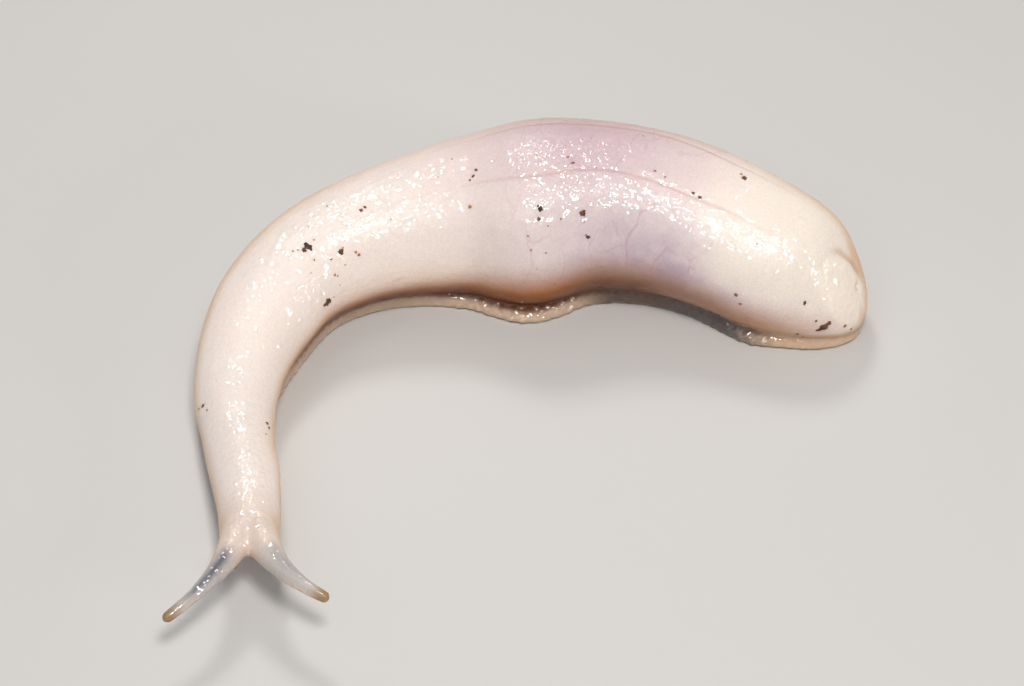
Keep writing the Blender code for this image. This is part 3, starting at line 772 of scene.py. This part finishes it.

# %% [markdown]
# ## Zones of colour
# A white slug isn't plain white. The head and the neck are duller than the body, partly as
# painted shade where less light falls on them, the gut shows lilac through the stretched skin
# of the middle, the flank turns peach and darker towards the groove, partly as painted shade,
# and the outline has a painted warm glow, as where light shines through. Each zone is a soft
# mask that the points of the skin carry.

# %% Zones of colour
def save_field(name, values):
    """Gives each point of the skin its value, for the finish to read by that name."""
    layer = skin.data.attributes.new(name, "FLOAT", "POINT")
    layer.data.foreach_set("value", values.astype(np.float32))


def save_mask(name, values):
    save_field(name, np.clip(values, 0, 1))


def patch(at, reach, share_at, share_reach):
    """A soft round patch on the left flank or the back, at a distance from the nose."""
    return bell(along_mm - at, reach) * bell(share - share_at, share_reach)


side, on_left = np.abs(share), share > 0
# painted shade: the neck and the head a little duller, as less light falls on them
save_mask("neck", ease(16, 9, along_mm))
save_mask("head", ease(4.5, 1.0, along_mm))
# partly painted shade: the lower flank warmer and darker towards the groove
save_mask("peach", stretch(10, 18, 54, 64) * ease(0.48, 0.80, side) * on_trunk)
save_mask("lilac", patch(41.4, 7.6, -0.08, 0.43) * on_trunk)
save_mask("lilac_low", patch(46.4, 8.2, 0.58, 0.26) * on_trunk)
save_mask("rump", ease(48, 53, along_mm) * ease(0.65, 0.45, side))
# where the painted warm glow of the outline is strongest
save_mask("rim", 0.35 + 0.65 * np.maximum(ease(30, 24, along_mm), ease(51, 56, along_mm)))
save_mask("rows", stretch(14, 24, 50, 57) * on_trunk)
save_field("furrow_way", furrow_way)
save_mask("furrow_fade", furrow_fade * on_trunk)
save_field("vein_way", vein_way)
save_mask("vein_strength", vein_strength)
save_mask("veined", stretch(34, 40, 47, 52) * ease(0.85, 0.7, side))
print("fields of the trunk:", len(skin.data.attributes))

# %% [markdown]
# ## The brown band and the painted shade above the groove
# A brown band runs along the flank, just above the groove, where the flank tucks under: partly
# the skin's own brown and partly painted shade. It is widest at the belly, turns to a grey
# painted shade behind it and fades out on the rump. In the groove itself the painted shade is
# deepest. The right flank has the same band, narrower and paler.

# %% The brown band and the painted shade above the groove
RIGHT_BROWN_AND_SHADE, RIGHT_GROOVE_SHADE = 0.45, 0.4
brown_and_shade_start = 0.63 - 0.10 * ease(31, 38, along_mm) * on_left
brown_and_shade = stretch(12, 18, 54, 60) * (1 - 0.35 * ease(42, 49, along_mm))
brown_and_shade *= np.where(on_left, 1.0, RIGHT_BROWN_AND_SHADE)
brown_and_shade *= ease(0, 0.28, side - brown_and_shade_start) * ease(-0.3, 0.1, above_groove)
# partly painted shade: the brown band above the groove
save_mask("brown_and_shade", brown_and_shade)
# painted shade: the band turns grey behind the belly
save_mask("grey_shade", brown_and_shade * stretch(38, 43, 50, 56) * on_left)
# painted shade: darkest right above and in the groove
groove_shade = stretch(14, 20, 44, 49) * np.where(on_left, 1.0, RIGHT_GROOVE_SHADE)
save_mask("groove_shade", groove_shade * ease(0.72, 0.92, side) * ease(-0.45, -0.15, above_groove))
print("brown points:", int((brown_and_shade > 0.5).sum()))

# %% [markdown]
# ## Clear and tinted ends
# The fringe is clear as glass. It is darkened with painted shade, as where the shade below
# it shows through, and it is sandy at the tail. The mantle has a tan rim on its right and a
# line in its crease. The tentacles are clear from halfway out, with the dark core inside, a
# painted pale glow along the lower edge, as where light shines through, and ochre tips.

# %% Clear and tinted ends
save_mask("fringe", fringe_share)
# painted shade showing through the fringe, in the middle and at the rear
save_mask("fringe_shade", fringe_share * stretch(40, 43.5, 54, 58))
save_mask("fringe_rear_shade", fringe_share * stretch(46, 50, 55, 58))
save_mask("tail_strip", ease(52.5, 57, along_mm) * ease(1.1, 0.0, above_groove))
save_mask("mantle", on_mantle)
save_mask("mantle_line", np.maximum(crease, pit))
tan_share = rim_share(0.94, -0.34, 0.84, 0.98)
save_mask("tan", ease(-1.2, -0.3, past_edge) * ease(0.1, -0.1, past_edge) * tan_share)
save_mask("clear_skin", ease(0.32, 0.62, out_share))
save_mask("core", core_side * ease(0.34, 0.50, out_share) * ease(0.97, 0.70, out_share))
# painted light: a pale glow along the tentacles' lower edge
save_mask("under_edge_glow", under_side * ease(0.2, 0.5, out_share))
save_mask("tip", ease(0.86, 1.0, out_share))
print("fields so far:", len(skin.data.attributes))

# %% [markdown]
# ## Where the film glitters
# The film of mucus isn't the same everywhere. It is thin on the far side of the back and
# just before the rump. Its grain is strongest on the neck, on the mantle and on the top of
# the belly, and finest on the head and at the tail's edge.

# %% Where the film glitters
dry = stretch(30, 36, 54, 58) * ease(0.15, -0.05, share)
save_mask("dry", np.maximum(dry, bell(along_mm - 50, 3.5)))
fine_tail = ease(54, 57, along_mm) * ease(0.5, 0.1, above_groove)
save_mask("fine", np.maximum(ease(9, 3, along_mm), fine_tail))
sparkle = 0.35 + 0.65 * np.maximum(ease(18, 6, along_mm), on_mantle)
sparkle += 0.8 * patch(41, 3.5, 0.05, 0.30)
save_mask("sparkle", sparkle * (1 - 0.5 * ease(0.25, 0.5, out_share)))
print("fields in all:", len(skin.data.attributes))

# %% [markdown]
# ## A plain sole
# Nothing shows on the sole, and thousands of small faces lie flat there. They are merged,
# which leaves room for more detail elsewhere.

# %% A plain sole
SOLE_LEVEL, FLAT_WITHIN = MM / 100, math.radians(1)
bpy.ops.object.mode_set(mode="EDIT")
bpy.ops.mesh.select_all(action="DESELECT")
bm = bmesh.from_edit_mesh(skin.data)
for face in bm.faces:
    if max(vert.co.z for vert in face.verts) < SOLE_LEVEL:
        face.select_set(True)
bmesh.update_edit_mesh(skin.data)
bpy.ops.mesh.dissolve_limited(angle_limit=FLAT_WITHIN)
bpy.ops.object.mode_set(mode="OBJECT")
print("faces left:", len(skin.data.polygons))

# %% [markdown]
# ## The skin's finish
# The finish is built from nodes. The colour is laid on in coats, each through its mask.
# Under the colour the flesh scatters light, as wax does. Over it lies a film of mucus, so
# the highlights are small and sharp, and they follow the grain of the skin. Small helpers
# come first: each adds a node or two, so that the rest reads like a recipe.

# %% The skin's finish
def node(kind, inputs=None, **settings):
    """A new node of the skin's finish. Inputs are given values or other nodes' outputs."""
    made = tree.nodes.new("ShaderNode" + kind)
    for name, value in settings.items():
        setattr(made, name, value)
    for name, value in (inputs or {}).items():
        if isinstance(value, bpy.types.NodeSocket):
            tree.links.new(value, made.inputs[name])
        else:
            made.inputs[name].default_value = value
    return made


def mask(name):
    """A mask or another field of numbers that the points of the skin carry."""
    return node("Attribute", attribute_name=name).outputs["Fac"]


def math_node(operation, first, second):
    return node("Math", {0: first, 1: second}, operation=operation).outputs[0]


def part_of(amount, share_of_it):
    return math_node("MULTIPLY", amount, share_of_it)


def noise_node(place, size, detail=2.0, roughness=0.5):
    """A noise whose lumps are about that many millimetres across."""
    inputs = {"Vector": place, "Scale": 1 / size, "Detail": detail, "Roughness": roughness}
    return node("TexNoise", inputs).outputs["Fac"]


def stepped(value, low, high, to_low=0.0, to_high=1.0):
    """The value's place between low and high, with soft ends, as a value of its own."""
    limits = {"From Min": low, "From Max": high, "To Min": to_low, "To Max": to_high}
    made = node("MapRange", {"Value": value, **limits}, interpolation_type="SMOOTHSTEP")
    return made.outputs["Result"]


def linear(red, green, blue):
    """An 8-bit screen colour as the linear colour that a shader takes."""
    shares = [value / 255 for value in (red, green, blue)]
    return (*[c / 12.92 if c < 0.04 else ((c + 0.055) / 1.055) ** 2.4 for c in shares], 1)


def coat_over(colour, amount, over):
    """The colour with another laid over it, as much as the mask says."""
    mix = node("Mix", {"Factor": amount, "A": colour, "B": over}, data_type="RGBA")
    return mix.outputs["Result"]


finish = bpy.data.materials.new("wet_slug_skin")
finish.use_nodes = True
tree = finish.node_tree
shader = tree.nodes["Principled BSDF"]
in_mm = {"Vector": node("TexCoord").outputs["Object"], "Scale": (1000, 1000, 1000)}
place = node("Mapping", in_mm).outputs["Vector"]
on_map = node("Attribute", attribute_name="skin_map").outputs["Vector"]
print("finish started with", len(tree.nodes), "nodes")

# %% [markdown]
# ### Veins
# A thin pink line runs in each furrow. Fainter ones branch off it and join in a wide net
# over the middle of the body. They are the borders of a cell pattern on the skin map,
# pushed about by a noise. The veins drawn from the picture are laid over that net.

# %% Veins
VEIN_CELL, VEIN_PUSH = 2.0, (1.5, 1.5, 0)
push = node("TexNoise", {"Vector": on_map, "Scale": 0.9, "Detail": 3.0}).outputs["Color"]
pushed = node("VectorMath", {0: push, 1: VEIN_PUSH}, operation="MULTIPLY").outputs[0]
bent_map = node("VectorMath", {0: on_map, 1: pushed}).outputs[0]
net = node(
    "TexVoronoi",
    {"Vector": bent_map, "Scale": 1 / VEIN_CELL},
    feature="DISTANCE_TO_EDGE",
    voronoi_dimensions="2D",
).outputs["Distance"]
away = math_node("ABSOLUTE", mask("furrow_way"), 0.0)
furrow_line = math_node("MULTIPLY", stepped(away, 0.12, 0.01), mask("furrow_fade"))
broken = stepped(noise_node(on_map, 3.0), 0.42, 0.62)
veins = math_node("MULTIPLY", stepped(net, 0.05, 0.0), mask("veined"))
veins = part_of(math_node("MULTIPLY", veins, broken), 0.5)
drawn = math_node("MULTIPLY", stepped(mask("vein_way"), 0.13, 0.0), mask("vein_strength"))
veins = math_node("MAXIMUM", veins, drawn)
print("vein cells of", VEIN_CELL, "mm")

# %% [markdown]
# ### Coats of colour
# The coats go on from the widest zone to the smallest: each is a mask and the colour that
# shows where the mask is full. A fine mottling goes over them all, since no living skin is
# quite even.

# %% Coats of colour
Coat = namedtuple("Coat", "amount colour")
BODY_COLOUR = (247, 232, 222)
grain = noise_node(place, 0.13, 2.0)
blotches = noise_node(place, 1.3, 3.0)
patchy = stepped(blotches, 0.25, 0.75, 0.6, 1.0)
facing = node("LayerWeight", {"Blend": 0.5}).outputs["Facing"]
# painted glow: a warm outline where the skin is seen at a slant
rim = math_node("MULTIPLY", stepped(facing, 0.48, 0.88), mask("rim"))
COATS = [
    # painted shade: the neck and the head a little duller, as less light falls on them
    Coat(mask("neck"), (236, 223, 214)),
    Coat(mask("head"), (220, 202, 189)),
    # partly painted shade: the lower flank warmer and darker towards the groove
    Coat(mask("peach"), (244, 219, 202)),
    Coat(mask("lilac"), (207, 181, 188)),
    Coat(math_node("MULTIPLY", mask("lilac_low"), patchy), (192, 172, 188)),
    Coat(mask("rump"), (244, 231, 218)),
    Coat(mask("mantle"), (250, 236, 221)),
    Coat(mask("tan"), (230, 196, 166)),
    # painted glow on the outline, as where light shines through
    Coat(part_of(rim, 0.60), (232, 184, 128)),
    # the brown band above the groove, partly painted shade
    Coat(mask("brown_and_shade"), (176, 100, 12)),
    # painted shade, grey behind the belly
    Coat(part_of(mask("grey_shade"), 0.65), (112, 86, 74)),
    Coat(mask("fringe"), (194, 166, 140)),
    # painted shade showing through the fringe, in the middle and at the rear
    Coat(mask("fringe_shade"), (96, 72, 54)),
    Coat(mask("fringe_rear_shade"), (86, 74, 70)),
    # painted shade, darkest in the groove
    Coat(mask("groove_shade"), (104, 50, 4)),
    Coat(mask("tail_strip"), (206, 174, 144)),
    Coat(mask("clear_skin"), (190, 182, 178)),
    Coat(mask("core"), (90, 92, 102)),
    # painted light: a pale glow along the tentacles' lower edge
    Coat(mask("under_edge_glow"), (244, 224, 194)),
    Coat(part_of(mask("tip"), 0.9), (146, 112, 56)),
    Coat(part_of(mask("mantle_line"), 0.5), (186, 140, 96)),
    Coat(part_of(furrow_line, 0.36), (190, 134, 132)),
    Coat(part_of(veins, 0.44), (180, 112, 126)),
]
colour = linear(*BODY_COLOUR)
for coat in COATS:
    colour = coat_over(colour, coat.amount, linear(*coat.colour))
speckle = stepped(grain, 0.38, 0.62, 0.955, 1.02)
shade = node("CombineXYZ", {"X": speckle, "Y": speckle, "Z": speckle}).outputs[0]
mottled = {"Factor": 1.0, "A": colour, "B": shade}
colour = node("Mix", mottled, data_type="RGBA", blend_type="MULTIPLY").outputs["Result"]
tree.links.new(colour, shader.inputs["Base Color"])
print("coats of colour:", len(COATS))

# %% [markdown]
# ### The grain of the flesh
# The relief finer than the mesh is left to a bump: long low tubercles in rows and a fine
# grain, with the veins and the furrows a little sunk. The flesh shows it only faintly,
# because light spreads in it.

# %% The grain of the flesh
FLESH_BUMP, FLESH_DEPTH = 0.35, 0.10 * MM
ROW_STRETCH = (1.0, 3.2, 1.0)


def added_up(start, parts):
    """A value and several more on top of it, each times its share."""
    for amount, share_of_it in parts:
        start = math_node("ADD", start, part_of(amount, share_of_it))
    return start


in_rows = node("Mapping", {"Vector": on_map, "Scale": ROW_STRETCH}).outputs["Vector"]
rows = math_node("MULTIPLY", noise_node(in_rows, 1.1, 0.0), mask("rows"))
flesh = added_up(part_of(rows, 0.4), [(grain, 0.12), (veins, -0.15), (furrow_line, -0.4)])
flesh_bump = node("Bump", {"Height": flesh, "Strength": FLESH_BUMP, "Distance": FLESH_DEPTH})
tree.links.new(flesh_bump.outputs["Normal"], shader.inputs["Normal"])
gloss = stepped(blotches, 0.3, 0.7, 0.36, 0.50)
tree.links.new(gloss, shader.inputs["Roughness"])
print("flesh grain of", round(FLESH_DEPTH / MM, 2), "mm")

# %% [markdown]
# ### The film of mucus
# The film is the shader's clear coat, with a bump of its own: the same rows, soft lumps
# all over, small rounded cobbles where it glitters, and finer lumps on the head, at the
# tail's edge and on the fringe. Each slope that faces a light draws one small glint. The
# film shows least where the skin is seen at a slant, where it is dry, and in the groove.

# %% The film of mucus
COBBLE_SIZE, LUMP_SIZE, BEAD_LUMP_SIZE, FINE_LUMP_SIZE = 0.36, 0.40, 0.36, 0.33
FILM_DEPTH = 0.22 * MM
WET_SKIN = {
    "IOR": 1.40,
    "Coat IOR": 1.68,
    "Coat Roughness": 0.09,
    "Subsurface Weight": 0.6,
    "Subsurface Radius": (1.0, 0.62, 0.45),
    "Subsurface Scale": 0.6 * MM,
}
cobbled = {"Vector": place, "Scale": 1 / COBBLE_SIZE, "Smoothness": 0.6}
cobbles = node("TexVoronoi", cobbled, feature="SMOOTH_F1").outputs["Distance"]
cobbles = math_node("MULTIPLY", cobbles, mask("sparkle"))
lumps = noise_node(place, LUMP_SIZE, 0.0)
fine_lumps = math_node("MULTIPLY", noise_node(place, FINE_LUMP_SIZE, 0.0), mask("fine"))
bead_lumps = math_node("MULTIPLY", noise_node(place, BEAD_LUMP_SIZE, 0.0), mask("fringe"))
film = added_up(
    part_of(rows, 0.55),
    [(lumps, 0.50), (fine_lumps, 0.42), (cobbles, -0.45), (bead_lumps, 0.35)],
)
film_bump = node("Bump", {"Height": film, "Strength": 1.0, "Distance": FILM_DEPTH})
tree.links.new(film_bump.outputs["Normal"], shader.inputs["Coat Normal"])
slant = stepped(facing, 0.22, 0.58)
wet = added_up(1.0, [(slant, -0.9), (mask("dry"), -0.6), (mask("groove_shade"), -0.8)])
wet = math_node("MAXIMUM", wet, part_of(mask("fringe"), 0.9))
tree.links.new(wet, shader.inputs["Coat Weight"])
shader.subsurface_method = "BURLEY"
for socket, value in WET_SKIN.items():
    shader.inputs[socket].default_value = value
skin.data.materials.clear()
skin.data.materials.append(finish)
print("skin finish:", len(tree.nodes), "nodes")

# %% [markdown]
# ## Crumbs of soil
# A slug that burrows has crumbs of damp soil stuck to its film of mucus. One crumb is a
# rough ball. Three of them are shaped, copied to where the picture has them, pressed into
# the skin there and joined.

# %% Crumbs of soil
Crumb = namedtuple("Crumb", "across down size paleness")
CRUMBS = [
    Crumb(308, 247, 0.50, 0.0), Crumb(304, 250, 0.30, 0.1), Crumb(298, 250, 0.13, 0.8),
    Crumb(314, 240, 0.14, 0.9), Crumb(293, 251, 0.13, 0.8), Crumb(308, 226, 0.10, 1.0),
    Crumb(314, 260, 0.16, 0.3), Crumb(311, 273, 0.09, 1.0), Crumb(341, 252, 0.38, 0.0),
    Crumb(343, 248, 0.14, 0.9), Crumb(356, 252, 0.20, 0.9), Crumb(359, 255, 0.22, 0.7),
    Crumb(331, 259, 0.18, 0.8), Crumb(345, 265, 0.10, 1.0), Crumb(335, 275, 0.20, 1.0),
    Crumb(338, 276, 0.14, 0.8), Crumb(340, 285, 0.09, 0.8), Crumb(328, 302, 0.54, 0.0),
    Crumb(325, 305, 0.30, 0.1), Crumb(334, 297, 0.11, 0.9), Crumb(361, 210, 0.24, 0.2),
    Crumb(365, 207, 0.24, 0.2), Crumb(327, 206, 0.12, 0.8), Crumb(391, 219, 0.10, 1.0),
    Crumb(438, 177, 0.09, 0.6), Crumb(452, 159, 0.12, 0.6), Crumb(476, 170, 0.22, 0.2),
    Crumb(473, 176, 0.22, 0.2), Crumb(470, 180, 0.15, 0.4), Crumb(470, 207, 0.28, 0.9),
    Crumb(540, 209, 0.40, 0.0), Crumb(538, 206, 0.16, 0.3), Crumb(539, 219, 0.27, 0.2),
    Crumb(561, 219, 0.15, 0.3), Crumb(548, 226, 0.10, 0.6), Crumb(583, 213, 0.42, 0.0),
    Crumb(584, 222, 0.14, 0.5), Crumb(588, 237, 0.28, 0.1), Crumb(586, 235, 0.15, 0.8),
    Crumb(573, 163, 0.20, 0.2), Crumb(568, 157, 0.17, 0.9), Crumb(596, 168, 0.10, 1.0),
    Crumb(528, 236, 0.14, 1.0), Crumb(531, 250, 0.14, 1.0), Crumb(546, 253, 0.13, 0.8),
    Crumb(537, 269, 0.09, 0.8), Crumb(554, 284, 0.11, 0.5), Crumb(643, 136, 0.15, 1.0),
    Crumb(655, 171, 0.17, 0.7), Crumb(665, 177, 0.16, 1.0), Crumb(693, 193, 0.22, 0.3),
    Crumb(700, 197, 0.27, 0.1), Crumb(744, 178, 0.36, 0.1), Crumb(741, 174, 0.16, 0.4),
    Crumb(757, 244, 0.11, 0.9), Crumb(736, 295, 0.26, 0.3), Crumb(740, 304, 0.22, 1.0),
    Crumb(805, 303, 0.26, 0.0), Crumb(824, 327, 0.52, 0.0), Crumb(829, 323, 0.38, 0.1),
    Crumb(819, 330, 0.34, 0.1), Crumb(816, 321, 0.20, 0.1), Crumb(797, 334, 0.30, 0.3),
    Crumb(803, 337, 0.22, 0.5), Crumb(845, 326, 0.22, 0.6), Crumb(851, 329, 0.20, 0.7),
    Crumb(866, 288, 0.16, 0.9), Crumb(869, 299, 0.20, 0.8), Crumb(868, 305, 0.18, 0.9),
    Crumb(203, 406, 0.32, 0.3), Crumb(199, 409, 0.18, 0.4), Crumb(207, 410, 0.16, 0.6),
    Crumb(267, 423, 0.28, 0.2), Crumb(269, 428, 0.20, 0.4), Crumb(266, 434, 0.13, 0.6),
]
CRUMB_SINK, CRUMB_FLATNESS, CRUMB_ROUGHNESS = 0.22, 0.6, 0.16 * MM
CRUMB_SHAPES = (1, 2, 3)
rng = np.random.default_rng(8)


def shape_crumb(number):
    """A ball of a millimetre whose surface is pushed about."""
    bpy.ops.object.select_all(action="DESELECT")
    bpy.ops.mesh.primitive_ico_sphere_add(subdivisions=2, radius=MM / 2)
    bpy.ops.object.mode_set(mode="EDIT")
    bpy.ops.transform.vertex_random(offset=CRUMB_ROUGHNESS, uniform=0.2, normal=0.6, seed=number)
    bpy.ops.object.mode_set(mode="OBJECT")
    return bpy.context.object


bpy.context.view_layer.update()
crumb_shapes = [shape_crumb(number) for number in CRUMB_SHAPES]
crumbs = []
for number, spot in enumerate(CRUMBS):
    point, normal = seen_at(spot.across, spot.down)
    if point is None:
        continue
    crumb = crumb_shapes[number % len(crumb_shapes)].copy()
    crumb.data = crumb.data.copy()
    paleness = crumb.data.attributes.new("paleness", "FLOAT", "POINT")
    paleness.data.foreach_set("value", [spot.paleness] * len(crumb.data.vertices))
    bpy.context.scene.collection.objects.link(crumb)
    turn = Matrix.Rotation(rng.uniform(0, math.tau), 4, "Z")
    long, flat = spot.size * rng.uniform(0.8, 1.25), spot.size * CRUMB_FLATNESS
    size = Matrix.Diagonal((long, spot.size, flat, 1))
    stand = normal.to_track_quat("Z", "Y").to_matrix().to_4x4()
    sunk = point - normal * spot.size * CRUMB_SINK * MM / 2
    crumb.matrix_world = Matrix.Translation(sunk) @ stand @ turn @ size
    crumbs.append(crumb)
for shape in crumb_shapes:
    bpy.data.objects.remove(shape)
bpy.ops.object.select_all(action="DESELECT")
for crumb in crumbs:
    crumb.select_set(True)
bpy.context.view_layer.objects.active = crumbs[0]
bpy.ops.object.join()
soil = bpy.context.object
soil.name = soil.data.name = "soil_crumbs"
bpy.ops.object.transform_apply(location=True, rotation=True, scale=True)
print("crumbs:", len(crumbs), "faces", len(soil.data.polygons))

# %% [markdown]
# ## The crumbs' finish
# Damp soil is dark brown and a little shiny. The smallest crumbs in the picture are paler,
# so each crumb carries how pale it is, and a fine bump roughens them all.

# %% The crumbs' finish
SOIL_ROUGHNESS, SOIL_DEPTH = 0.35, 0.06 * MM
soil_finish = bpy.data.materials.new("damp_soil")
soil_finish.use_nodes = True
tree = soil_finish.node_tree
soil_shader = tree.nodes["Principled BSDF"]
in_mm = {"Vector": node("TexCoord").outputs["Object"], "Scale": (1000, 1000, 1000)}
place = node("Mapping", in_mm).outputs["Vector"]
drier = stepped(noise_node(place, 1.1, 2.0), 0.35, 0.65)
soil_colour = coat_over(linear(56, 30, 12), drier, linear(124, 74, 34))
soil_colour = coat_over(soil_colour, mask("paleness"), linear(190, 122, 66))
tree.links.new(soil_colour, soil_shader.inputs["Base Color"])
soil_bump = node("Bump", {"Height": noise_node(place, 0.10, 3.0), "Distance": SOIL_DEPTH})
tree.links.new(soil_bump.outputs["Normal"], soil_shader.inputs["Normal"])
soil_shader.inputs["Roughness"].default_value = SOIL_ROUGHNESS
soil.data.materials.clear()
soil.data.materials.append(soil_finish)
bpy.ops.object.shade_smooth()
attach(soil, "root")
print("soil finish:", len(tree.nodes), "nodes")

# %% [markdown]
# ## Finish
# The skin is shaded smooth and takes the place of all the solids.

# %% Finish
bpy.ops.object.select_all(action="DESELECT")
skin.select_set(True)
bpy.context.view_layer.objects.active = skin
for name in ("number", "shade_smooth"):
    if name in skin.data.attributes:
        skin.data.attributes.remove(skin.data.attributes[name])
bpy.ops.object.shade_smooth()
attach(skin, "root")
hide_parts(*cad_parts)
